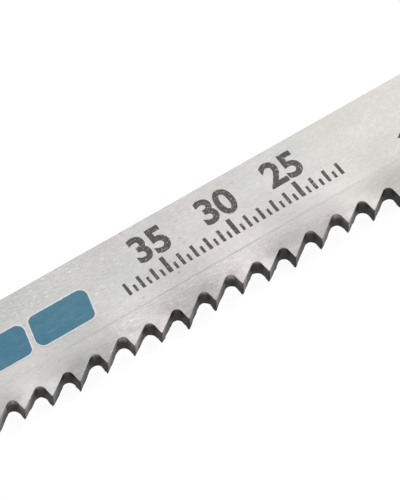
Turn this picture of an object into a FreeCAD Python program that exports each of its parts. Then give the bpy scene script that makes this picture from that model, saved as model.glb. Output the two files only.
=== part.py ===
import FreeCAD, Part
import math
import os

# Bi-metal jigsaw blade for metal, with a T-shank. Sizes are in millimetres and degrees.
# The blade lies on its side. X runs from the shank's end to the toe, Y from the teeth to the back edge,
# and Z points up out of the upper flat face. X = 0 is the middle of the length, Y = 0 is the shank's
# centre line, and Z = 0 is the surface that the lowest set teeth touch.

# Strip
overall_length = 92.0
thickness = 1.2
back_edge_y = 3.1            # straight back edge, from the shank's centre line
tip_line_y = -4.5            # line of the tooth tips
seam_y = -2.175              # middle of the weld between backing strip and tooth edge
seam_width = 0.08

# Shank
tongue_length = 8.3          # from the shank's end to the lugs
tongue_width = 5.6
tongue_chamfer = 1.3
lug_span = 9.6               # across both lugs
lug_length = 3.2
neck_length = 6.5
neck_width = 5.4
shoulder_slope = 45.0        # from the neck out to the body's edges
outer_corner_radius = 0.6
inner_corner_radius = 0.4

# Teeth
tooth_pitch = 2.0
plain_edge_length = 4.5      # straight edge left without teeth by the shank, or up to a pitch more
rake = -6.0                  # the cutting face leans back from square to the tip line
clearance = 36.0             # the flank behind each tip rises at this angle
gullet_radius = 0.35
toe_margin = 1.3             # from the last tip to the end of the toe

# Wavy set: the toothed edge swings to both sides
end_side_set = 0.22          # sideways reach of the crests at the first and last tip
middle_side_set = 0.25       # and midway between them, so that a blade lying down rests on one wave
lean_share = 0.4             # share of the reach that grows evenly down to the tips; the rest is the bend
bend_height = 1.4            # height of the bend below the weld
flat_below_seam = 0.06       # the edge stays flat this far below the weld
teeth_per_wave = 4
crest_to_tip = 0.45          # a crest lies this far before the last tip
set_run_in = 2.0             # length before the first tip over which the wave grows
points_per_bend = 7          # points of the wavy surface across the bend
points_per_wave = 8          # and along one wave

# Toe
toe_height = 1.6             # blunt end, above the flank of the last tooth
toe_slope = 42.0             # from the back edge down to the blunt end
toe_nose_radius = 0.8
toe_back_radius = 3.0

# Making
rounding_share = 0.45        # a rounded corner takes at most this share of a side
beyond = 1.0                 # cutting shapes reach this far past the outline

# Places worked out from the sizes
shank_end_x = -overall_length / 2
toe_x = overall_length / 2
lug_start_x = shank_end_x + tongue_length
lug_end_x = lug_start_x + lug_length
neck_end_x = lug_end_x + neck_length
seam_top_y = seam_y + seam_width / 2
seam_bottom_y = seam_y - seam_width / 2
lowest_y = min(tip_line_y, -lug_span / 2)
highest_y = max(back_edge_y, lug_span / 2)


def tangent(angle):
    return math.tan(math.radians(angle))


def shoulder_end(edge_y):
    """X at which the slope from the neck reaches the body's edge."""
    return neck_end_x + (abs(edge_y) - neck_width / 2) / tangent(shoulder_slope)


last_tip_x = toe_x - toe_margin
toothed_length = last_tip_x - shoulder_end(tip_line_y) - plain_edge_length
tip_places = [last_tip_x - tooth * tooth_pitch for tooth in range(int(toothed_length / tooth_pitch))]
first_tip_x = tip_places[-1]
wave_length = teeth_per_wave * tooth_pitch


# The outline is a list of corners, each (x, y, radius).

def shank_corners(side, edge_y):
    """One side of the shank, from its end to the body's edge. side is 1 at the back, -1 at the teeth."""
    tongue_y = side * tongue_width / 2
    lug_y = side * lug_span / 2
    neck_y = side * neck_width / 2
    return [
        (shank_end_x, tongue_y - side * tongue_chamfer, outer_corner_radius),
        (shank_end_x + tongue_chamfer, tongue_y, outer_corner_radius),
        (lug_start_x, tongue_y, inner_corner_radius),
        (lug_start_x, lug_y, outer_corner_radius),
        (lug_end_x, lug_y, outer_corner_radius),
        (lug_end_x, neck_y, inner_corner_radius),
        (neck_end_x, neck_y, inner_corner_radius),
        (shoulder_end(edge_y), edge_y, outer_corner_radius),
    ]


def toe_corners():
    """The toe, from the back edge to the flank of the last tooth."""
    flank_end_y = tip_line_y + toe_margin * tangent(clearance)
    nose_y = flank_end_y + toe_height
    slope_start_x = toe_x - (back_edge_y - nose_y) / tangent(toe_slope)
    return [
        (slope_start_x, back_edge_y, toe_back_radius),
        (toe_x, nose_y, toe_nose_radius),
        (toe_x, flank_end_y, 0.0),
    ]


def tooth_corners():
    """Tips and gullets, from the toe back to the end of the plain edge by the shank."""
    lean = tangent(-rake)
    gullet_height = tooth_pitch / (1 / tangent(clearance) + lean)
    corners = []
    for tip_x in tip_places:
        corners.append((tip_x, tip_line_y, 0.0))
        corners.append((tip_x - gullet_height * lean, tip_line_y + gullet_height, gullet_radius))
    corners.append((first_tip_x - tooth_pitch, tip_line_y, 0.0))
    return corners


def round_corner(before, corner, after, radius):
    """Start, middle and end of the arc that rounds a corner, no larger than its sides have room for."""
    to_before = (before - corner).normalize()
    to_after = (after - corner).normalize()
    half_angle = to_before.getAngle(to_after) / 2
    room = rounding_share * min(before.distanceToPoint(corner), after.distanceToPoint(corner))
    setback = min(radius / math.tan(half_angle), room)
    real_radius = setback * math.tan(half_angle)
    to_middle = (to_before + to_after).normalize() * (real_radius / math.sin(half_angle) - real_radius)
    return corner + to_before * setback, corner + to_middle, corner + to_after * setback


def rounded_face(corners):
    """Flat face inside the corners, with each corner rounded by its radius."""
    points = [FreeCAD.Vector(x, y, 0) for x, y, radius in corners]
    arcs = []
    for index, point in enumerate(points):
        after = points[(index + 1) % len(points)]
        arcs.append(round_corner(points[index - 1], point, after, corners[index][2]))
    edges = []
    for index, (start, middle, end) in enumerate(arcs):
        if corners[index][2] > 0:
            edges.append(Part.Arc(start, middle, end).toShape())
        edges.append(Part.makeLine(end, arcs[(index + 1) % len(arcs)][0]))
    return Part.Face(Part.Wire(edges))


# The wavy set

def clamped(share):
    return min(max(share, 0.0), 1.0)


def grown(share):
    """Smooth growth from 0 to 1 while share goes from 0 to 1."""
    return (1 - math.cos(math.pi * clamped(share))) / 2


def set_reach(x):
    """Sideways reach of a crest, greatest midway between the first and the last tip."""
    middle_x = (first_tip_x + last_tip_x) / 2
    from_middle = (x - middle_x) / (last_tip_x - middle_x)
    return middle_side_set - (middle_side_set - end_side_set) * from_middle ** 2


def set_share(y):
    """Share of the tips' reach at a height: a bend below the weld, and a steady lean down to the tips."""
    bend_top_y = seam_bottom_y - flat_below_seam
    bend = grown((bend_top_y - y) / bend_height)
    lean = clamped((bend_top_y - y) / (bend_top_y - tip_line_y))
    return (1 - lean_share) * bend + lean_share * lean


def set_offset(x, y):
    """Sideways offset of the strip: none at the weld and the shank, a wave along the teeth."""
    along = grown((x - first_tip_x) / set_run_in + 1)
    wave = math.cos(2 * math.pi * (x - last_tip_x + crest_to_tip) / wave_length)
    return set_reach(x) * set_share(y) * along * wave


flat_bottom_z = -min(set_offset(x, tip_line_y) for x in tip_places)


def steps(start, end, step):
    """Places from start, a step apart, up to end or just past it."""
    return [start + index * step for index in range(math.ceil(abs((end - start) / step)) + 1)]


def wavy_layer():
    """Layer as thick as the blade below the weld, flat by the weld and the shank and waved at the teeth."""
    columns = steps(shank_end_x - beyond, toe_x + beyond, wave_length / points_per_wave)
    rows = steps(seam_bottom_y, lowest_y - beyond, -bend_height / points_per_bend)
    grid = [[FreeCAD.Vector(x, y, flat_bottom_z + set_offset(x, y)) for y in rows] for x in columns]
    surface = Part.BSplineSurface()
    surface.interpolate(grid)
    return surface.toShape().extrude(FreeCAD.Vector(0, 0, thickness))


# Sub-parts

def raised(face, bottom_z, height):
    """Upright solid on a face that is drawn at Z = 0."""
    solid = face.extrude(FreeCAD.Vector(0, 0, height))
    solid.translate(FreeCAD.Vector(0, 0, bottom_z))
    return solid


def band(low_y, high_y):
    """Block around the stretch of the blade's width between two values of Y."""
    low_corner = FreeCAD.Vector(shank_end_x - beyond, low_y, flat_bottom_z - beyond)
    return Part.makeBox(overall_length + 2 * beyond, high_y - low_y, thickness + 2 * beyond, low_corner)


def backing_strip(outline):
    return raised(outline, flat_bottom_z, thickness).common(band(seam_top_y, highest_y + beyond))


def weld(outline):
    return raised(outline, flat_bottom_z, thickness).common(band(seam_bottom_y, seam_top_y))


def toothed_strip(outline):
    reach = middle_side_set + beyond
    return raised(outline, flat_bottom_z - reach, thickness + 2 * reach).common(wavy_layer())


blade_outline = rounded_face(
    shank_corners(1, back_edge_y)
    + toe_corners()
    + tooth_corners()
    + list(reversed(shank_corners(-1, tip_line_y)))
)
nodes = {
    "back_strip": backing_strip(blade_outline),
    "weld_seam": weld(blade_outline),
    "tooth_edge": toothed_strip(blade_outline),
}

os.makedirs("parts", exist_ok=True)
for name, shape in nodes.items():
    shape.exportStep("parts/" + name + ".step")
    box = shape.optimalBoundingBox()
    ends = (box.XMin, box.XMax, box.YMin, box.YMax, box.ZMin, box.ZMax)
    print(name, len(shape.Solids), shape.isValid(), round(shape.Volume, 3), [round(end, 4) for end in ends])
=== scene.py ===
import math

import bpy
import numpy as np
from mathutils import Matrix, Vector, noise
from mathutils.geometry import delaunay_2d_cdt


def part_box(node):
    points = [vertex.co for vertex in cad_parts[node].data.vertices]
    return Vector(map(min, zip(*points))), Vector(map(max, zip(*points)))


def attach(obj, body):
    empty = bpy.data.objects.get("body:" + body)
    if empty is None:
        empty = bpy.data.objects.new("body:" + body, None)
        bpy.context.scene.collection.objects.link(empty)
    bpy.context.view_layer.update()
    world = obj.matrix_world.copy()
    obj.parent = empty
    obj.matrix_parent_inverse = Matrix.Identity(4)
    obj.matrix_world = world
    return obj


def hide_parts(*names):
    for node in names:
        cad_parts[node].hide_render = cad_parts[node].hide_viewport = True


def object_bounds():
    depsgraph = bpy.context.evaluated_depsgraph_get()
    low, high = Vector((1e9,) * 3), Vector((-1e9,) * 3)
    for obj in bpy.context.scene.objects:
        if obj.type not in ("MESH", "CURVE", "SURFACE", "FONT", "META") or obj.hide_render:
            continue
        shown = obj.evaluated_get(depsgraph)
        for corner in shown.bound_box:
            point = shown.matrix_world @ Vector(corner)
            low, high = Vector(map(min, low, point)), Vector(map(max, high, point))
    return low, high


# A jigsaw blade for metal, lying on its side. Lengths are in millimetres unless a comment says otherwise.
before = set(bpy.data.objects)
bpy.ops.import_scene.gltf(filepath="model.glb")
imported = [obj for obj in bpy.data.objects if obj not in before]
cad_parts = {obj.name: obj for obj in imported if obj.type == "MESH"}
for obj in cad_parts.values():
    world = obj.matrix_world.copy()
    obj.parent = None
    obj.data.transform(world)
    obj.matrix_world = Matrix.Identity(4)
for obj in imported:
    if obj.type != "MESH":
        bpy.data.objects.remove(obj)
cad_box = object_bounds()
scene = bpy.context.scene
MM = 0.001                   # metres
X, Y, Z = range(3)


def box_in_mm(node):
    """Lowest and highest corners of a CAD node."""
    return [[value / MM for value in corner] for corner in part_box(node)]


back_low, back_high = box_in_mm("back_strip")
_, edge_high = box_in_mm("tooth_edge")

# ---- the blade's sizes, as in the CAD source
TOP_Z = back_high[Z]
BOTTOM_Z = back_low[Z]
SHANK_END_X = back_low[X]
TOE_X = edge_high[X]
SEAM_TOP_Y = back_low[Y]
SEAM_BOTTOM_Y = edge_high[Y]
BACK_EDGE_Y = 3.1
TIP_LINE_Y = -4.5
TONGUE_LENGTH = 8.3
TONGUE_WIDTH = 5.6
TONGUE_CHAMFER = 1.3
LUG_SPAN = 9.6
LUG_LENGTH = 3.2
NECK_LENGTH = 6.5
NECK_WIDTH = 5.4
SHOULDER_SLOPE = 45.0        # degrees
OUTER_RADIUS = 0.6
INNER_RADIUS = 0.4
PITCH = 2.0
TEETH = 33
RAKE = -6.0                  # degrees
CLEARANCE = 36.0             # degrees
GULLET_RADIUS = 0.35
ROUNDING_SHARE = 0.45        # a rounded corner takes at most this share of a side
TOE_MARGIN = 1.3
TOE_HEIGHT = 1.6
TOE_SLOPE = 42.0             # degrees
TOE_NOSE_RADIUS = 0.8
TOE_BACK_RADIUS = 3.0
LAST_TIP_X = TOE_X - TOE_MARGIN
FIRST_TIP_X = LAST_TIP_X - (TEETH - 1) * PITCH
LUG_START_X = SHANK_END_X + TONGUE_LENGTH
LUG_END_X = LUG_START_X + LUG_LENGTH
NECK_END_X = LUG_END_X + NECK_LENGTH

# ---- the wavy set, as in the CAD source
END_SET = 0.22
MIDDLE_SET = 0.25
LEAN_SHARE = 0.4
BEND_HEIGHT = 1.4
FLAT_BELOW_SEAM = 0.06
WAVE_LENGTH = 4 * PITCH
CREST_TO_TIP = 0.45
SET_RUN_IN = 2.0

# ---- finish that the CAD source leaves out
SET_BULGE = 0.05             # height of the shallow wave that the set leaves round the weld
EDGE_BREAK = 0.035           # the worn edges between the flat faces and the sawn or milled walls
ROOT_BREAK = 0.065           # at the roots of the gullets, which the cutter leaves rounder
ROOT_BREAK_FROM_Y = -4.1     # the rounding grows from here
ROOT_BREAK_FULL_Y = -3.6     # to here
SEAM_BREAK = 0.009           # and along the weld
TIP_RADIUS = 0.045           # the worn tooth tips
TEETH_TOP_Y = -2.7           # the gullets end below this height
UPPER_TIP_SHIFT = (0.0, 0.0)  # shifts in x and y, from the corners in the CAD source
UPPER_GULLET_SHIFT = (0.0, -0.04)
LOWER_GULLET_RADIUS = 0.42   # the milled gullets open wider where the cutter left, at the lower face
LOWER_ROUNDING_SHARE = 0.75
LOWER_TIP_SHIFT = (-0.02, -0.03)
LOWER_GULLET_SHIFT = (0.06, -0.05)
MILLING_WANDER = 0.05        # how far the milled gullets wander from their true line
WANDER_PER_MM = 2.3          # waves of the wander in a millimetre
WANDER_SEEDS = (3.7, 4.8)    # its pattern at the upper face and at the lower face
MILLING_RAG = 0.024          # and their fine raggedness
RAG_PER_MM = 8.0
RAG_SEEDS = (9.2, 12.2)
WANDER_GROWTH = 3            # both are full at one third of the way down

# ---- how finely the shapes are divided
CORNER_STEP = 0.07           # length of the pieces that a rounded corner is made of
EDGE_STEP = 0.16             # and of those along a straight edge
CORNER_STEPS_AT_LEAST = 3
CELL = 0.22                  # size of the mesh cells inside the faces
CELL_GAP = 0.55 * CELL       # the cells' corners keep this far from the edge
WALL_ROWS = 6
SLOPE_STEP = 0.01            # a face's slope is taken over twice this length
NEAR = 0.01                  # places this near each other count as one
INSIDE_ONLY = 1              # what a triangulation keeps
FACE_EPSILON = 1e-7          # points this near each other are one point in a face's triangles
PRINT_EPSILON = 1e-6         # and in a print's


def tangent(degrees):
    return math.tan(math.radians(degrees))


def unit(vector):
    return vector / np.linalg.norm(vector)


def unit_rows(vectors):
    return vectors / np.linalg.norm(vectors, axis=1)[:, None]


def linked(name, data):
    piece = bpy.data.objects.new(name, data)
    scene.collection.objects.link(piece)
    return piece


def new_mesh(name, vertices, faces):
    mesh = bpy.data.meshes.new(name)
    mesh.from_pydata(vertices, [], faces)
    mesh.validate()
    return mesh


def rim_edges(polygons):
    """Edges that only one of the polygons has, as pairs that run its way."""
    edges = {}
    for polygon in polygons:
        for start, end in zip(polygon, polygon[1:] + polygon[:1]):
            if (end, start) in edges:
                del edges[(end, start)]
            else:
                edges[(start, end)] = True
    return list(edges)


# ---------------------------------------------------------------- camera
CAMERA_AZIMUTH = -34.4       # degrees
CAMERA_ELEVATION = 56.5      # degrees
CAMERA_TARGET = (12.03, -0.81, TOP_Z)
CAMERA_DISTANCE = 0.25       # metres
CAMERA_LENS = 290.8
CAMERA_SENSOR = 36
CAMERA_RANGE = (0.01, 20)    # metres


def make_camera():
    azimuth, elevation = math.radians(CAMERA_AZIMUTH), math.radians(CAMERA_ELEVATION)
    level = math.cos(elevation)
    back = Vector((math.sin(azimuth) * level, -math.cos(azimuth) * level, math.sin(elevation)))
    data = bpy.data.cameras.new("camera")
    data.sensor_width = CAMERA_SENSOR
    data.lens = CAMERA_LENS
    data.clip_start, data.clip_end = CAMERA_RANGE
    camera = linked("camera", data)
    camera.location = Vector(CAMERA_TARGET) * MM + back * CAMERA_DISTANCE
    camera.rotation_mode = "QUATERNION"
    camera.rotation_quaternion = (-back).to_track_quat("-Z", "Y")
    scene.camera = camera


make_camera()


# ---------------------------------------------------------------- outline
# A corner is its x and y and the radius of its rounding.

def shoulder_end(edge_y):
    """X at which the slope from the neck reaches the body's edge."""
    return NECK_END_X + (abs(edge_y) - NECK_WIDTH / 2) / tangent(SHOULDER_SLOPE)


def shank_corners(side, edge_y):
    """One side of the shank, from its end to the body's edge. side is 1 at the back, -1 at the teeth."""
    tongue_y, lug_y, neck_y = (side * width / 2 for width in (TONGUE_WIDTH, LUG_SPAN, NECK_WIDTH))
    return [
        (SHANK_END_X, tongue_y - side * TONGUE_CHAMFER, OUTER_RADIUS),
        (SHANK_END_X + TONGUE_CHAMFER, tongue_y, OUTER_RADIUS),
        (LUG_START_X, tongue_y, INNER_RADIUS),
        (LUG_START_X, lug_y, OUTER_RADIUS),
        (LUG_END_X, lug_y, OUTER_RADIUS),
        (LUG_END_X, neck_y, INNER_RADIUS),
        (NECK_END_X, neck_y, INNER_RADIUS),
        (shoulder_end(edge_y), edge_y, OUTER_RADIUS),
    ]


def toe_corners():
    """The toe, from the back edge to the flank of the last tooth."""
    flank_end_y = TIP_LINE_Y + TOE_MARGIN * tangent(CLEARANCE)
    nose_y = flank_end_y + TOE_HEIGHT
    return [
        (TOE_X - (BACK_EDGE_Y - nose_y) / tangent(TOE_SLOPE), BACK_EDGE_Y, TOE_BACK_RADIUS),
        (TOE_X, nose_y, TOE_NOSE_RADIUS),
        (TOE_X, flank_end_y, TIP_RADIUS),
    ]


def tooth_corners(gullet_radius, tip_shift, gullet_shift):
    """Tips and gullets, from the toe back to the plain edge by the shank."""
    lean = tangent(-RAKE)
    depth = PITCH / (1 / tangent(CLEARANCE) + lean)
    corners = []
    for tooth in range(TEETH):
        tip_x = LAST_TIP_X - tooth * PITCH
        gullet_x = tip_x - depth * lean
        corners.append((tip_x + tip_shift[X], TIP_LINE_Y + tip_shift[Y], TIP_RADIUS))
        corners.append((gullet_x + gullet_shift[X], TIP_LINE_Y + depth + gullet_shift[Y], gullet_radius))
    corners.append((FIRST_TIP_X - PITCH, TIP_LINE_Y, TIP_RADIUS))
    return corners


def corner_arcs(corners, most_share, step_counts=None):
    """Points round an outline whose every corner is an arc, and the number of steps in each arc.

    An arc takes at most most_share of its shorter side. step_counts may give the numbers of steps.
    """
    points = [np.array(corner[:2], float) for corner in corners]
    line = []
    used_counts = []
    for index, point in enumerate(points):
        before = points[index - 1] - point
        after = points[(index + 1) % len(points)] - point
        room = most_share * min(np.linalg.norm(before), np.linalg.norm(after))
        before, after = unit(before), unit(after)
        half_angle = math.acos(max(-1, min(1, before @ after))) / 2
        setback = min(corners[index][2] / math.tan(half_angle), room)
        radius = setback * math.tan(half_angle)
        centre = point + unit(before + after) * radius / math.sin(half_angle)
        start, end = point + before * setback - centre, point + after * setback - centre
        sweep = math.pi - 2 * half_angle
        count = max(CORNER_STEPS_AT_LEAST, round(sweep * radius / CORNER_STEP))
        if step_counts:
            count = step_counts[index]
        used_counts.append(count)
        for step in range(count + 1):
            of_start = math.sin((1 - step / count) * sweep)
            of_end = math.sin(step / count * sweep)
            line.append(centre + (start * of_start + end * of_end) / math.sin(sweep))
    return np.array(line), used_counts


def divided(line, step, to_whole=math.ceil):
    """The same closed line, with its long pieces divided. Its points may carry more than x and y."""
    points = []
    for index, point in enumerate(line):
        after = line[(index + 1) % len(line)]
        count = max(1, to_whole(np.linalg.norm((after - point)[:2]) / step))
        points += [point + (after - point) * part / count for part in range(count)]
    return points


def clipped(line, level_y, side):
    """The part of a closed line above a level (side 1) or below it (side -1)."""
    kept = []
    for index, point in enumerate(line):
        after = line[(index + 1) % len(line)]
        if side * (point[1] - level_y) >= 0:
            kept.append(point)
        if (point[1] - level_y) * (after[1] - level_y) < 0:
            kept.append(point + (after - point) * (level_y - point[1]) / (after[1] - point[1]))
    return kept


def in_teeth(points):
    """Whether each point of an outline lies on the milled teeth, not on the shank or the end of the toe."""
    x, y = points[:, 0], points[:, 1]
    return (y < TEETH_TOP_Y) & (x > FIRST_TIP_X - PITCH) & (x < TOE_X - NEAR)


def blade_outline():
    """Closed line whose points are x and y at the upper face, then x and y at the lower face."""
    above = shank_corners(1, BACK_EDGE_Y) + toe_corners()
    below = shank_corners(-1, TIP_LINE_Y)[::-1]
    upper_teeth = tooth_corners(GULLET_RADIUS, UPPER_TIP_SHIFT, UPPER_GULLET_SHIFT)
    lower_teeth = tooth_corners(LOWER_GULLET_RADIUS, LOWER_TIP_SHIFT, LOWER_GULLET_SHIFT)
    upper, counts = corner_arcs(above + upper_teeth + below, ROUNDING_SHARE)
    lower_toothed, _ = corner_arcs(above + lower_teeth + below, LOWER_ROUNDING_SHARE, counts)
    lower = np.where(in_teeth(upper)[:, None], lower_toothed, upper)
    return divided(np.hstack([upper, lower]), EDGE_STEP)


# ---------------------------------------------------------------- wavy set
def grown(share):
    """Smooth growth from 0 to 1 while share goes from 0 to 1."""
    return (1 - np.cos(math.pi * np.clip(share, 0, 1))) / 2


def set_offset(x, y):
    """Sideways offset of the toothed strip: none at the weld and the shank, a wave along the teeth."""
    middle = (FIRST_TIP_X + LAST_TIP_X) / 2
    reach = MIDDLE_SET - (MIDDLE_SET - END_SET) * ((x - middle) / (LAST_TIP_X - middle)) ** 2
    bend_top = SEAM_BOTTOM_Y - FLAT_BELOW_SEAM
    bend = grown((bend_top - y) / BEND_HEIGHT)
    lean = np.clip((bend_top - y) / (bend_top - TIP_LINE_Y), 0, 1)
    share = (1 - LEAN_SHARE) * bend + LEAN_SHARE * lean
    along = grown((x - FIRST_TIP_X) / SET_RUN_IN + 1)
    return reach * share * along * np.cos(2 * math.pi * (x - LAST_TIP_X + CREST_TO_TIP) / WAVE_LENGTH)


def no_offset(x, y):
    return np.zeros_like(x)


# ---------------------------------------------------------------- slab with worn edges
FACE_SLOT, WALL_SLOT, MILLED_SLOT = range(3)
HALF_ROOT = math.sqrt(0.5)


def outward(ring):
    """Unit outward normals of a closed ring that runs against the clock, seen from above."""
    along = unit_rows(np.roll(ring, -1, 0) - ring)
    square = np.stack([along[:, 1], -along[:, 0]], 1)
    return unit_rows(square + np.roll(square, 1, 0))


def area_of(ring):
    x, y = ring[:, 0], ring[:, 1]
    return 0.5 * np.sum(x * np.roll(y, -1) - np.roll(x, -1) * y)


def inner_points(ring):
    """Points of a regular net that lie inside the ring, not too near it."""
    low, high = ring.min(0), ring.max(0)
    points = []
    for row, y in enumerate(np.arange(low[1], high[1], CELL * math.sqrt(3) / 2)):
        points += [(x, y) for x in np.arange(low[0] + CELL / 2 * (row % 2), high[0], CELL)]
    points = np.array(points)
    inside = np.zeros(len(points), bool)
    near = np.zeros(len(points), bool)
    for (start_x, start_y), (end_x, end_y) in zip(ring, np.roll(ring, -1, 0)):
        rise = end_y - start_y or 1.0        # a level piece crosses no height, whatever its rise
        crosses = (start_y > points[:, 1]) != (end_y > points[:, 1])
        crossing_x = start_x + (points[:, 1] - start_y) * (end_x - start_x) / rise
        inside ^= crosses & (points[:, 0] < crossing_x)
        near |= (points[:, 0] - start_x) ** 2 + (points[:, 1] - start_y) ** 2 < CELL_GAP ** 2
    return points[inside & ~near]


def filled(ring):
    """Points and triangles of a net that fills the ring, and for each point the place in the ring, or -1."""
    net = [Vector(point) for point in np.concatenate([ring, inner_points(ring)])]
    border = [list(range(len(ring)))]
    points, _, triangles, origins, _, _ = delaunay_2d_cdt(net, [], border, INSIDE_ONLY, FACE_EPSILON)
    firsts = [origin[0] if origin else -1 for origin in origins]
    places = [first if first < len(ring) else -1 for first in firsts]
    return np.array([point[:] for point in points]), triangles, places


def face_z(offset, points, up):
    """Heights of the upper face (up 1) or the lower face (up -1) at some points."""
    return offset(points[:, 0], points[:, 1]) + (TOP_Z if up > 0 else BOTTOM_Z)


def face_normal(offset, points, up):
    x, y = points[:, 0], points[:, 1]
    slope_x = (offset(x + SLOPE_STEP, y) - offset(x - SLOPE_STEP, y)) / (2 * SLOPE_STEP)
    slope_y = (offset(x, y + SLOPE_STEP) - offset(x, y - SLOPE_STEP)) / (2 * SLOPE_STEP)
    return unit_rows(np.stack([-slope_x, -slope_y, np.ones(len(x))], 1) * up)


def edge_breaks(ring):
    """Size of the worn edge at each point of a ring."""
    y = ring[:, 1]
    at_seam = (y < SEAM_TOP_Y + NEAR) & (y > SEAM_BOTTOM_Y - NEAR)
    rootward = np.clip((y - ROOT_BREAK_FROM_Y) / (ROOT_BREAK_FULL_Y - ROOT_BREAK_FROM_Y), 0, 1)
    milled = EDGE_BREAK + (ROOT_BREAK - EDGE_BREAK) * rootward * in_teeth(ring)
    return np.where(at_seam, SEAM_BREAK, milled)


def worn_edge(offset, inset, edge, edge_break, wall, up):
    """Points, heights and normals of a worn edge's rows, from the face to the wall."""
    z = face_z(offset, inset, up)
    middle_normal = wall * HALF_ROOT + np.array([0, 0, up * HALF_ROOT])
    return [
        (inset, z, face_normal(offset, inset, up)),
        (edge + (inset - edge) * (1 - HALF_ROOT), z - up * edge_break * (1 - HALF_ROOT), middle_normal),
        (edge, z - up * edge_break, wall),
    ]


def slab(name, outline, offset, wander):
    """Closed plate as thick as the blade, with worn edges and a wall of several rows.

    offset gives its faces' height over x and y, and wander how far the wall strays outwards at a share of its
    depth. Its faces, its walls and the milled walls of the teeth each have a material slot.
    """
    outline = np.array(outline)
    if area_of(outline[:, :2]) < 0:
        outline = outline[::-1]
    ring, true_low_ring = outline[:, :2], outline[:, 2:]
    count = len(ring)
    out = outward(ring)
    low_ring = true_low_ring + out * wander(ring, 1.0)[:, None]
    edge_break = edge_breaks(ring)
    inset = ring - out * edge_break[:, None]
    low_inset = low_ring - outward(low_ring) * edge_break[:, None]
    high = face_z(offset, inset, 1) - edge_break
    low = face_z(offset, low_inset, -1) + edge_break
    slope = np.sum(out * (low_ring - ring), 1) / (high - low)
    wall = unit_rows(np.column_stack([out, slope]))

    rows = worn_edge(offset, inset, ring, edge_break, wall, 1)
    for row in range(1, WALL_ROWS):
        share = row / WALL_ROWS
        points = ring + (true_low_ring - ring) * share + out * wander(ring, share)[:, None]
        rows.append((points, high + (low - high) * share, wall))
    rows += worn_edge(offset, low_inset, low_ring, edge_break, wall, -1)[::-1]
    vertices = np.concatenate([np.column_stack([points, z]) for points, z, _ in rows])
    normals = np.concatenate([normal for _, _, normal in rows])
    faces = []
    for row in range(len(rows) - 1):
        for place in range(count):
            here = row * count + place
            after = row * count + (place + 1) % count
            faces.append((here, here + count, after + count, after))

    for up, face_ring, first_vertex in ((1, inset, 0), (-1, low_inset, (len(rows) - 1) * count)):
        points, triangles, places = filled(face_ring)
        new = range(len(vertices), len(vertices) + len(points))
        vertices = np.concatenate([vertices, np.column_stack([points, face_z(offset, points, up)])])
        normals = np.concatenate([normals, face_normal(offset, points, up)])
        where = [first_vertex + place if place >= 0 else own for place, own in zip(places, new)]
        faces += [tuple(where[corner] for corner in triangle[::up]) for triangle in triangles]

    used = sorted({vertex for face in faces for vertex in face})
    renumbered = {vertex: index for index, vertex in enumerate(used)}
    renumbered_faces = [tuple(renumbered[vertex] for vertex in face) for face in faces]
    mesh = new_mesh(name, [tuple(vertex * MM) for vertex in vertices[used]], renumbered_faces)
    mesh.shade_smooth()
    milled = in_teeth(ring) | in_teeth(np.roll(ring, -1, 0))
    slots = np.full(len(faces), FACE_SLOT)
    wall_rows = len(rows) - 3                # without the rows of faces beside the two insets
    slots[count:(wall_rows + 1) * count] = np.tile(np.where(milled, MILLED_SLOT, WALL_SLOT), wall_rows)
    mesh.polygons.foreach_set("material_index", slots)
    mesh.normals_split_custom_set_from_vertices([tuple(normal) for normal in normals[used]])
    return linked(name, mesh)


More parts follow.
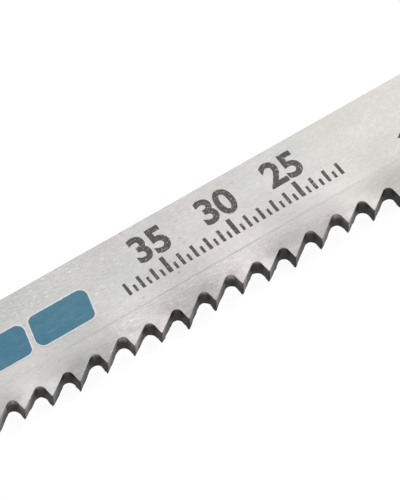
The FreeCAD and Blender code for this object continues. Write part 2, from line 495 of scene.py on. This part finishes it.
# ---------------------------------------------------------------- materials
class Graph:
    """A material's node tree, built from calls that return sockets."""

    def __init__(self, name):
        self.material = bpy.data.materials.new(name)
        self.material.use_nodes = True
        self.tree = self.material.node_tree
        self.tree.nodes.clear()
        self.shader = self.tree.nodes.new("ShaderNodeBsdfPrincipled")
        output = self.tree.nodes.new("ShaderNodeOutputMaterial")
        self.tree.links.new(self.shader.outputs[0], output.inputs[0])
        self.position = self.add("ShaderNodeTexCoord").outputs["Object"]

    def add(self, kind, inputs=None, **settings):
        node = self.tree.nodes.new(kind)
        for key, value in settings.items():
            setattr(node, key, value)
        for key, value in (inputs or {}).items():
            self.put(node.inputs[key], value)
        return node

    def put(self, socket, value):
        if isinstance(value, bpy.types.NodeSocket):
            self.tree.links.new(value, socket)
        else:
            socket.default_value = value

    def set(self, **values):
        """Set or link the shader's own sockets, which are named with _ for a space."""
        for name, value in values.items():
            self.put(self.shader.inputs[name.replace("_", " ")], value)

    def math(self, operation, a, b=0.0):
        return self.add("ShaderNodeMath", {0: a, 1: b}, operation=operation).outputs[0]

    def product(self, first, *others):
        for other in others:
            first = self.math("MULTIPLY", first, other)
        return first

    def total(self, first, *others):
        for other in others:
            first = self.math("ADD", first, other)
        return first

    def ramp(self, value, low, high, to_low=0.0, to_high=1.0, smooth=False):
        """to_low where the value is low, to_high where it is high, and even or smooth between."""
        kind = "SMOOTHSTEP" if smooth else "LINEAR"
        return self.add("ShaderNodeMapRange", {
            "Value": value, "From Min": low, "From Max": high, "To Min": to_low, "To Max": to_high,
        }, interpolation_type=kind).outputs[0]

    def shade(self, mask, factor):
        """1 where the mask is 0, and the factor where it is 1."""
        return self.ramp(mask, 0, 1, 1.0, factor)

    def sway(self, value, strength):
        """A factor round 1 that follows a value round 0.5."""
        return self.total(self.product(self.math("SUBTRACT", value, 0.5), strength), 1.0)

    def part(self, axis):
        """Place along an axis, in metres."""
        return self.add("ShaderNodeSeparateXYZ", {0: self.position}).outputs[axis]

    def over(self, axis, low, high, to_low=0.0, to_high=1.0, smooth=False):
        """A ramp between two places on an axis."""
        return self.ramp(self.part(axis), low * MM, high * MM, to_low, to_high, smooth)

    def away(self, axis, place, low, high, to_low=0.0, to_high=1.0):
        """A ramp between two distances from a place on an axis."""
        distance = self.math("ABSOLUTE", self.math("SUBTRACT", self.part(axis), place * MM))
        return self.ramp(distance, low * MM, high * MM, to_low, to_high)

    def facing(self, axis):
        """How far the surface faces along an axis, from -1 to 1."""
        normal = self.add("ShaderNodeNewGeometry").outputs["Normal"]
        return self.add("ShaderNodeSeparateXYZ", {0: normal}).outputs[axis]

    def scaled(self, per_mm, shift=0.0, turn=0.0):
        """Coordinates with so many units in a millimetre along X, Y and Z, turned by some degrees about Z."""
        turned = self.position
        if turn:
            turned = self.add("ShaderNodeMapping", {
                "Vector": turned, "Rotation": (0, 0, math.radians(turn)),
            }).outputs[0]
        return self.add("ShaderNodeMapping", {
            "Vector": turned, "Location": (shift, shift, shift), "Scale": [scale / MM for scale in per_mm],
        }).outputs[0]

    def noise(self, per_mm, detail, roughness, seed, turn=0.0):
        return self.add("ShaderNodeTexNoise", {
            "Vector": self.scaled(per_mm, seed, turn), "Scale": 1.0, "Detail": detail, "Roughness": roughness,
        }).outputs[0]

    def spots(self, per_mm, radius, share, seed):
        """1 inside scattered spots, in that share of the cells, and 0 outside."""
        cells = self.add("ShaderNodeTexVoronoi", {
            "Vector": self.scaled(per_mm, seed), "Scale": 1.0, "Randomness": 1.0,
        }, voronoi_dimensions="2D")
        picked = self.add("ShaderNodeSeparateColor", {0: cells.outputs["Color"]}).outputs[0]
        size = self.ramp(picked, 0.0, share, radius, radius * 0.3)
        inside = self.ramp(self.math("DIVIDE", cells.outputs["Distance"], size), 1.0, 0.6)
        return self.product(inside, self.math("LESS_THAN", picked, share))

    def scratch(self, y, width, seed):
        """1 along a straight scratch at a height, broken along its length."""
        inside = self.away(Y, y, width / 2, width / 4)
        return self.product(inside, self.ramp(self.noise((0.5, 0.1, 0.1), 3, 0.6, seed), 0.42, 0.56))

    def mix(self, share, a, b, blend="MIX"):
        node = self.add("ShaderNodeMix", {0: share, 6: a, 7: b}, data_type="RGBA", blend_type=blend)
        return node.outputs[2]

    def brighter(self, colour, factor):
        """The colour times a factor that varies over the surface."""
        grey = self.add("ShaderNodeCombineColor", {0: factor, 1: factor, 2: factor}).outputs[0]
        return self.mix(1.0, colour, grey, "MULTIPLY")

    def bump(self, height, strength, distance, over=None):
        """Normals bent by a height that reaches so far at 1, on top of other bent normals."""
        inputs = {"Height": height, "Strength": strength, "Distance": distance * MM}
        if over is not None:
            inputs["Normal"] = over
        return self.add("ShaderNodeBump", inputs).outputs[0]


def rgb(red, green, blue):
    return (red, green, blue, 1.0)


# ---- colours
COOL_STEEL = rgb(0.590, 0.594, 0.582)
PINKISH_STEEL = rgb(0.612, 0.588, 0.586)
WARM_STEEL = rgb(0.612, 0.600, 0.576)
SMUDGED_STEEL = rgb(0.500, 0.475, 0.462)
# gullet walls: a dark oxide colour that also stands in for their shade, and a lighter colour for the painted
# light on them
MILLED_DARK = rgb(0.026, 0.024, 0.023)
MILLED_PAINTED_LIT = rgb(0.40, 0.385, 0.375)
SHEARED_STEEL = rgb(0.31, 0.305, 0.30)
WELD_LINE = rgb(0.47, 0.455, 0.445)
WELD_FADED = rgb(0.655, 0.645, 0.63)
RUBBED_STEEL = rgb(1.0, 0.985, 0.98)
WORN_THROUGH = rgb(0.5, 0.49, 0.48)
BLUE_INKS = (rgb(0.078, 0.240, 0.360), rgb(0.092, 0.262, 0.350))
DARK_INKS = (rgb(0.103, 0.097, 0.093), rgb(0.116, 0.110, 0.106))

# ---- places on the blade where its steel looks different
ROSY_X = 13.5                # the middle of the rosier stretch
GRAIN_FADES_X = (11.0, 24.0)
GRAIN_RETURNS_X = (30.0, 40.0)
FAINTEST_GRAIN = 0.22
ROUGHER_X = (15.0, 21.0)     # the toothed strip grows rougher and paler between these
SMUDGES_Y = (-2.6, -3.5)     # its smudges and streaks grow between these
BULGE_GROWS_Y = (1.0, -2.2)  # the shallow wave round the weld, from the back edge down
BULGE_ENDS_Y = (-2.4, -3.4)
WELD_CLEAR_X = 12.0          # the weld shows best here
SCRATCHES = (                # height, width, seed and brightness of straight scratches near the teeth
    (-3.93, 0.05, 5.5, 1.14),
    (-4.01, 0.05, 5.9, 0.86),
    (-3.60, 0.03, 2.9, 0.90),
)


def set_bulge(g):
    """Height of the shallow wave that the set leaves round the weld, in shares of its greatest height."""
    from_crest = g.math("SUBTRACT", g.part(X), (LAST_TIP_X - CREST_TO_TIP) * MM)
    wave = g.math("COSINE", g.product(from_crest, 2 * math.pi / (WAVE_LENGTH * MM)))
    above = g.over(Y, *BULGE_GROWS_Y, smooth=True)
    below = g.over(Y, *BULGE_ENDS_Y, 1.0, 0.0, smooth=True)
    toothed = g.over(X, FIRST_TIP_X - SET_RUN_IN, FIRST_TIP_X + SET_RUN_IN, smooth=True)
    upper_side = g.math("SIGN", g.facing(Z))
    return g.product(wave, g.product(above, below, toothed), upper_side)


def steel_tint(g):
    """Satin steel's colour, which drifts between a cool, a pinkish and a warm grey."""
    rosy = g.away(X, ROSY_X, 3.0, 8.0, 0.14, 0.0)
    pink = g.total(g.noise((0.16, 0.30, 0.30), 3, 0.55, seed=1.2), g.over(Y, 3.0, -3.0, -0.10, 0.10), rosy)
    warm = g.total(g.noise((0.10, 0.22, 0.22), 3, 0.55, seed=6.3), g.over(X, -6.0, 30.0, -0.14, 0.12))
    pinkish = g.ramp(pink, 0.40, 0.62, smooth=True)
    warmer = g.ramp(g.math("SUBTRACT", warm, rosy), 0.38, 0.62, smooth=True)
    return g.mix(warmer, g.mix(pinkish, COOL_STEEL, PINKISH_STEEL), WARM_STEEL)


def satin_steel(name, near_teeth=False):
    """Steel ground along its length, with grain, flecks, scratches and specks; smudged near the teeth."""
    g = Graph(name)
    colour = steel_tint(g)

    # how clearly the grain shows
    along = g.total(g.over(X, *GRAIN_FADES_X, 1.0, FAINTEST_GRAIN), g.over(X, *GRAIN_RETURNS_X, 0.0, 0.6))
    patchy = g.ramp(g.noise((0.14, 0.4, 0.4), 2, 0.5, seed=2.2), 0.42, 0.58, 1.05, 0.7, smooth=True)
    lower_left = g.product(g.over(X, 6.0, 2.0), g.over(Y, -0.8, -2.0))
    contrast = g.product(along, patchy, g.ramp(lower_left, 0.0, 1.0, 1.0, 0.4))
    if not near_teeth:
        contrast = g.product(contrast, g.over(Y, -0.5, 1.0, 0.6, 1.0))

    # factors of the colour's brightness
    grain = g.noise((7.0, 13.0, 13.0), 2, 0.6, seed=7.7)
    strokes = g.noise((1.6, 12.0, 12.0), 2, 0.5, seed=4.8, turn=7.0)
    lines = g.noise((0.2, 30.0, 30.0), 2, 0.5, seed=5.2)
    tones = [
        g.ramp(g.noise((0.35, 0.6, 0.6), 5, 0.6, seed=3.1), 0.3, 0.7, 0.96, 1.04),
        g.over(Y, 1.0, 2.4, 1.01, 0.975),
        g.sway(grain, g.product(contrast, 0.64)),
        g.sway(strokes, g.product(contrast, 0.46)),
        g.ramp(g.noise((2.4, 3.4, 3.4), 3, 0.6, seed=1.9), 0.3, 0.7, 0.97, 1.03),
        g.ramp(lines, 0.64, 0.72, 1.0, 0.91),
        g.ramp(g.noise((0.3, 22.0, 22.0), 1, 0.5, seed=2.3, turn=4.0), 0.70, 0.75, 1.0, 0.92),
        g.ramp(g.noise((0.3, 22.0, 22.0), 1, 0.5, seed=6.9, turn=-11.0), 0.70, 0.75, 1.0, 0.92),
        g.ramp(g.noise((0.25, 16.0, 16.0), 1, 0.5, seed=3.4, turn=-38.0), 0.70, 0.76, 1.0, 1.06),
    ]
    fleck_patches = g.ramp(g.noise((0.3, 0.6, 0.6), 2, 0.5, seed=9.1), 0.43, 0.57, smooth=True)
    flecks = g.product(g.spots((1.8, 6.0, 1.0), 0.36, 0.34, seed=2.0), fleck_patches)
    tones.append(g.total(g.product(flecks, g.product(contrast, 0.26)), 1.0))
    clear = g.ramp(along, FAINTEST_GRAIN, 0.8, 0.35, 1.0)
    small_specks = g.spots((2.6, 3.6, 1.0), 0.30, 0.12, seed=9.0)
    large_specks = g.spots((0.7, 0.9, 1.0), 0.10, 0.09, seed=4.0)
    tones += [g.shade(g.product(small_specks, clear), 0.88), g.shade(g.product(large_specks, clear), 0.76)]

    rough = g.ramp(grain, 0.2, 0.8, 0.42, 0.54)
    if near_teeth:
        low = g.over(Y, *SMUDGES_Y, smooth=True)
        smudge = g.ramp(g.noise((0.55, 0.5, 0.5), 4, 0.6, seed=1.3), 0.42, 0.66, smooth=True)
        smudge = g.product(smudge, g.ramp(along, FAINTEST_GRAIN, 0.6, 0.35, 1.0), low)
        colour = g.mix(smudge, colour, SMUDGED_STEEL)
        streaks = g.product(g.math("SUBTRACT", g.noise((0.35, 7.0, 7.0), 3, 0.6, seed=8.8), 0.5), low)
        tones += [g.shade(g.scratch(y, width, seed), brightness) for y, width, seed, brightness in SCRATCHES]
        tones += [g.ramp(streaks, -0.2, 0.2, 0.94, 1.06), g.over(X, *ROUGHER_X, 1.025, 1.06)]
        rough = g.total(rough, g.over(X, *ROUGHER_X, 0.03, 0.07))
    height = g.total(grain, g.product(g.ramp(lines, 0.64, 0.72), -0.6))
    g.set(Base_Color=g.brighter(colour, g.product(*tones)), Metallic=1.0, Roughness=rough)
    g.set(Normal=g.bump(height, 0.25, 0.008, over=g.bump(set_bulge(g), 1.0, SET_BULGE)))
    return g.material


def milled_wall(name):
    """Dark oxide and painted shade on the milled gullet walls; painted light makes them lighter along the
    flanks towards the tips and near the upper face.
    """
    g = Graph(name)
    height = g.over(Z, BOTTOM_Z, TOP_Z)
    # painted light: the walls are mixed towards a lighter colour on the flanks facing the toe, towards the
    # tips, near the roots and near the upper face
    flank = g.ramp(g.facing(X), 0.30, 0.58, smooth=True)
    flank_painted_light = g.total(g.product(flank, g.ramp(height, 0.0, 1.0, 0.07, 0.62)), 0.025)
    light = g.product(g.over(Y, -3.75, TIP_LINE_Y), flank_painted_light)
    root = g.over(Y, -3.85, -3.5, 0.0, 0.065)
    upper_painted_light = g.ramp(height, 0.5, 1.0, 0.0, 0.08)
    rim_painted_light = g.product(g.ramp(height, 0.78, 1.0, 0.0, 0.55), g.over(Y, -4.3, -3.7, 0.25, 1.0))
    share = g.total(light, g.total(root, upper_painted_light, rim_painted_light))
    marks = g.noise((5.5, 5.5, 0.7), 3, 0.6, seed=4.4)
    colour = g.mix(share, MILLED_DARK, MILLED_PAINTED_LIT)
    g.set(Base_Color=g.brighter(colour, g.ramp(marks, 0.3, 0.7, 0.52, 1.48)), Metallic=1.0)
    g.set(Roughness=g.ramp(marks, 0.2, 0.8, 0.45, 0.62), Normal=g.bump(marks, 0.4, 0.02))
    return g.material


def sheared_wall(name):
    """Ground back edge and stamped shank."""
    g = Graph(name)
    marks = g.noise((7.0, 7.0, 1.0), 3, 0.6, seed=6.1)
    g.set(Base_Color=g.brighter(SHEARED_STEEL, g.ramp(marks, 0.3, 0.7, 0.82, 1.16)), Metallic=1.0)
    g.set(Roughness=g.ramp(marks, 0.2, 0.8, 0.4, 0.6), Normal=g.bump(marks, 0.4, 0.02))
    return g.material


def weld(name):
    """A thin darker line, broken along its length, that fades away from the place where it shows best."""
    g = Graph(name)
    broken = g.ramp(g.noise((0.35, 2.0, 2.0), 4, 0.6, seed=8.2), 0.44, 0.70, smooth=True)
    broken = g.product(broken, g.away(X, WELD_CLEAR_X, 1.0, 4.0, 0.5, 1.0))
    near_fade = g.away(X, WELD_CLEAR_X, 1.5, 6.0, 0.0, 0.5)
    far_fade = g.away(X, WELD_CLEAR_X, 8.0, 14.0, 0.0, 0.3)
    faded = g.product(g.total(near_fade, far_fade), g.away(X, WELD_CLEAR_X, 19.0, 25.0, 1.0, 0.3))
    colour = g.mix(g.math("MAXIMUM", broken, faded), WELD_LINE, WELD_FADED)
    g.set(Base_Color=colour, Metallic=1.0, Roughness=0.48, Normal=g.bump(set_bulge(g), 1.0, SET_BULGE))
    return g.material


def ink(name, colour, other_colour, wear, rough):
    """Print in two near colours, worn through in specks to the steel; rough is its fine unevenness."""
    g = Graph(name)
    specks = g.ramp(g.noise((7.0, 9.0, 9.0), 3, 0.7, seed=2.6), wear, wear + 0.06)
    scuffs = g.ramp(g.noise((0.5, 20.0, 20.0), 2, 0.5, seed=4.9), 0.72, 0.76)
    bare = g.math("MAXIMUM", specks, scuffs)
    patches = g.ramp(g.noise((0.25, 0.5, 0.5), 3, 0.6, seed=5.7), 0.38, 0.62, smooth=True)
    thin = g.ramp(g.noise((2.0, 2.5, 2.5), 3, 0.6, seed=6.6), 0.3, 0.7, 0.95, 1.06)
    fine = g.ramp(g.noise((9.0, 11.0, 11.0), 2, 0.6, seed=3.3), 0.3, 0.7, 1 - rough, 1 + rough)
    mixed = g.brighter(g.mix(patches, colour, other_colour), g.product(thin, fine))
    g.set(Base_Color=g.mix(bare, mixed, WORN_THROUGH), Metallic=bare)
    g.set(Roughness=g.ramp(thin, 0.95, 1.06, 0.55, 0.45), Specular_IOR_Level=0.3)
    return g.material


def bright_border(name):
    """Steel rubbed brighter just round a print."""
    g = Graph(name)
    broken = g.ramp(g.noise((3.0, 4.0, 4.0), 3, 0.6, seed=7.1), 0.35, 0.65, 0.64, 0.755)
    g.set(Base_Color=g.brighter(RUBBED_STEEL, broken), Metallic=1.0, Roughness=0.46)
    return g.material


# ---------------------------------------------------------------- the blade
def noise_at(x, y, per_mm, seed):
    """Smooth noise over x and y, with about so many waves in a millimetre."""
    return noise.noise(Vector((x * per_mm, y * per_mm, seed)))


def milling_wander(ring, share):
    """Wander and raggedness of the milled walls at a share of their depth."""
    strays = np.zeros(len(ring))
    for reach, per_mm, (top_seed, bottom_seed) in (
        (MILLING_WANDER, WANDER_PER_MM, WANDER_SEEDS), (MILLING_RAG, RAG_PER_MM, RAG_SEEDS),
    ):
        seed = top_seed + share * (bottom_seed - top_seed)
        strays += reach * np.array([noise_at(x, y, per_mm, seed) for x, y in ring])
    return strays * min(1.0, share * WANDER_GROWTH) * in_teeth(ring)


def no_wander(ring, share):
    return np.zeros(len(ring))


def ride(piece, node=None):
    if node:
        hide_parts(node)
    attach(piece, "root")


def strip(name, level_y, side, offset, wander):
    """The part of the blade on one side of a level."""
    return slab(name, divided(clipped(blade, level_y, side), EDGE_STEP), offset, wander)


blade = blade_outline()
sheared = sheared_wall("sheared_steel")
backing = strip("backing_strip", SEAM_TOP_Y, 1, no_offset, no_wander)
for material in (satin_steel("backing_steel"), sheared):
    backing.data.materials.append(material)
ride(backing, "back_strip")
toothed = strip("toothed_strip", SEAM_BOTTOM_Y, -1, set_offset, milling_wander)
for material in (satin_steel("edge_steel", near_teeth=True), sheared, milled_wall("milled_steel")):
    toothed.data.materials.append(material)
ride(toothed, "tooth_edge")
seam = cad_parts["weld_seam"]
seam.data.materials.clear()
seam.data.materials.append(weld("weld_steel"))


# ---------------------------------------------------------------- prints
PRINT_DEPTH = 0.01           # the ink reaches this far below the face
PRINT_HEIGHT = 0.012         # and this far above it
PRINT_STEP = 0.05            # length of the pieces that a print's edge is made of
PRINT_RAG = 0.016            # raggedness of the ink's edges
COARSE_RAG = (5, 1.7)        # waves in a millimetre, and seed
FINE_RAG = (13, 4.1)
FINE_RAG_SHARE = 0.7         # size of the fine raggedness beside the coarse

BLOCKS = 5
BLOCK_WIDTH = 4.2
BLOCK_PITCH = 4.6
BLOCK_LEFT_X = -0.15         # left end of the block nearest to the toe
BLOCK_LOW_Y = -1.25
BLOCK_HIGH_Y = 1.0
BLOCK_SLANT = 0.25           # how far a block's ends lean towards the toe in each unit of height
BLOCK_RADIUS = 0.5
BORDER_WIDTH = 0.1

SCALE_NUMBERS = (35, 30, 25)  # distances to the last tooth tip
SCALE_MIDDLE_X = LAST_TIP_X - SCALE_NUMBERS[1]
TICKS_EACH_SIDE = 16
TICK_STEP = 0.5
TICK_LOW_Y = -1.15
TICK_SIZES = ((10, 0.12, 0.30), (2, -0.22, 0.22), (1, -0.62, 0.18))  # every so many ticks: upper end, width
NUMBER_LOW_Y = 0.42
NUMBER_HEIGHT = 1.85
NUMBER_BOLDNESS = 0.075
FONT_NUMBER_HEIGHT = 0.7     # a number's height in the font at size 1
FONT_RESOLUTION = 6


def jittered(loop):
    """The same loop with finely ragged edges."""
    points = divided([np.array(point, float) for point in loop], PRINT_STEP, round)
    ragged = []
    for point, out in zip(points, outward(np.array(points))):
        rag = noise_at(*point, *COARSE_RAG) + FINE_RAG_SHARE * noise_at(*point, *FINE_RAG)
        ragged.append(Vector(point + out * PRINT_RAG * rag))
    return ragged


def inked(point, coordinates, edges):
    """Whether a point lies inside an odd number of loops."""
    inside = False
    for start, end in edges:
        (start_x, start_y), (end_x, end_y) = coordinates[start], coordinates[end]
        if (start_y > point.y) != (end_y > point.y):
            crossing_x = start_x + (point.y - start_y) * (end_x - start_x) / (end_y - start_y)
            inside ^= point.x < crossing_x
    return inside


def printed(name, loops, material):
    """One thin closed piece of ink for all the loops; a loop inside another is a hole."""
    coordinates, edges = [], []
    for loop in loops:
        first = len(coordinates)
        coordinates += jittered(loop)
        count = len(coordinates) - first
        edges += [(first + place, first + (place + 1) % count) for place in range(count)]
    points, _, triangles, _, _, _ = delaunay_2d_cdt(coordinates, edges, [], INSIDE_ONLY, PRINT_EPSILON)
    kept = []
    for triangle in triangles:
        middle = sum((points[corner] for corner in triangle), Vector((0, 0))) / 3
        if inked(middle, coordinates, edges):
            kept.append(triangle)
    count = len(points)
    levels = (TOP_Z + PRINT_HEIGHT, TOP_Z - PRINT_DEPTH)
    vertices = [(point.x * MM, point.y * MM, z * MM) for z in levels for point in points]
    faces = []
    for triangle in kept:
        faces.append(tuple(triangle))
        faces.append(tuple(count + corner for corner in reversed(triangle)))
    faces += [(end, start, count + start, count + end) for start, end in rim_edges(kept)]
    mesh = new_mesh(name, vertices, faces)
    mesh.materials.append(material)
    ride(linked(name, mesh))


def slanted_block(left, grow=0.0):
    """Closed loop of a slanted block with rounded corners, grown by so much on every side."""
    shift = (BLOCK_HIGH_Y - BLOCK_LOW_Y) * BLOCK_SLANT
    left, right = left - grow, left + BLOCK_WIDTH + grow
    low, high = BLOCK_LOW_Y - grow, BLOCK_HIGH_Y + grow
    radius = BLOCK_RADIUS + grow
    corners = [
        (left, low, radius), (right, low, radius),
        (right + shift, high, radius), (left + shift, high, radius),
    ]
    return corner_arcs(corners, ROUNDING_SHARE)[0]


def tick(place):
    """Closed loop of one tick, so many ticks from the scale's middle."""
    high, width = next((high, width) for every, high, width in TICK_SIZES if place % every == 0)
    x = SCALE_MIDDLE_X + place * TICK_STEP
    left, right = x - width / 2, x + width / 2
    return [(left, TICK_LOW_Y), (right, TICK_LOW_Y), (right, high), (left, high)]


def number_loops(number):
    """Outlines of one of the scale's numbers."""
    curve = bpy.data.curves.new("number", "FONT")
    curve.body = str(number)
    curve.align_x = "CENTER"
    curve.size = NUMBER_HEIGHT / FONT_NUMBER_HEIGHT
    curve.offset = NUMBER_BOLDNESS
    curve.resolution_u = FONT_RESOLUTION
    text = linked("number", curve)
    bpy.context.view_layer.update()
    mesh = bpy.data.meshes.new_from_object(text.evaluated_get(bpy.context.evaluated_depsgraph_get()))
    after = dict(rim_edges([list(polygon.vertices) for polygon in mesh.polygons]))
    loops = []
    while after:
        corner, loop = next(iter(after)), []
        while corner in after:
            place = mesh.vertices[corner].co
            loop.append((LAST_TIP_X - number + place.x, NUMBER_LOW_Y + place.y))
            corner = after.pop(corner)
        loops.append(loop)
    bpy.data.objects.remove(text)
    return loops


def double_arrow(x, y, length, shaft, head, half_width):
    """Closed loop of an arrow with two heads, whose first point is at x."""
    end = x + length
    near_neck, far_neck = x + head, end - head
    low, high = y - shaft / 2, y + shaft / 2
    lowest, highest = y - half_width, y + half_width
    return [
        (x, y), (near_neck, lowest), (near_neck, low), (far_neck, low), (far_neck, lowest),
        (end, y), (far_neck, highest), (far_neck, high), (near_neck, high), (near_neck, highest),
    ]


blue = ink("blue_ink", *BLUE_INKS, wear=0.74, rough=0.08)
dark = ink("dark_ink", *DARK_INKS, wear=0.60, rough=0.2)
block_lefts = [BLOCK_LEFT_X - BLOCK_PITCH * block for block in range(BLOCKS)]
blocks = [slanted_block(left) for left in block_lefts]
grown_blocks = [slanted_block(left, BORDER_WIDTH) for left in block_lefts]
ticks = [tick(place) for place in range(-TICKS_EACH_SIDE, TICKS_EACH_SIDE + 1)]
numbers = [loop for number in SCALE_NUMBERS for loop in number_loops(number)]
arrow = double_arrow(x=27.1, y=-0.85, length=8.4, shaft=0.5, head=1.3, half_width=0.85)
printed("blue_blocks", blocks, blue)
printed("blue_borders", blocks + grown_blocks, bright_border("bright_steel"))
printed("scale_ticks", ticks, dark)
printed("scale_numbers", numbers, dark)
printed("stroke_arrow", [arrow], dark)


# ---------------------------------------------------------------- floor and light, in metres
FLOOR_HALF = 1.5
FLOOR_GLOW = 0.88
SKY_STRENGTH = 0.65
KEY_PLACE = (0.30, 0.24, 0.34)
KEY_TARGET = (0.02, 0, 0)
KEY_SIZE = (0.30, 0.26)
KEY_POWER = 0.52             # watts
KEY_COLOUR = (1.0, 0.99, 0.975)


def make_floor():
    corners = [(x * FLOOR_HALF, y * FLOOR_HALF, 0) for x, y in ((-1, -1), (1, -1), (1, 1), (-1, 1))]
    floor = linked("floor", new_mesh("floor", corners, [(0, 1, 2, 3)]))
    floor.location.z = cad_box[0].z
    g = Graph("floor_white")
    g.set(Base_Color=rgb(0.2, 0.2, 0.2), Roughness=0.9)
    g.set(Emission_Color=rgb(1, 1, 1), Emission_Strength=FLOOR_GLOW)
    floor.data.materials.append(g.material)


def make_sky():
    world = bpy.data.worlds.new("world")
    scene.world = world
    world.use_nodes = True
    background = world.node_tree.nodes["Background"]
    background.inputs["Color"].default_value = rgb(1, 1, 1)
    background.inputs["Strength"].default_value = SKY_STRENGTH


def make_key_light():
    data = bpy.data.lights.new("key", "AREA")
    data.shape = "RECTANGLE"
    data.size, data.size_y = KEY_SIZE
    data.energy = KEY_POWER
    data.color = KEY_COLOUR
    light = linked("key", data)
    light.location = KEY_PLACE
    light.rotation_mode = "QUATERNION"
    light.rotation_quaternion = (Vector(KEY_TARGET) - Vector(KEY_PLACE)).to_track_quat("-Z", "Y")


make_floor()
make_sky()
make_key_light()
scene.view_settings.view_transform = "Standard"
scene.view_settings.look = "None"
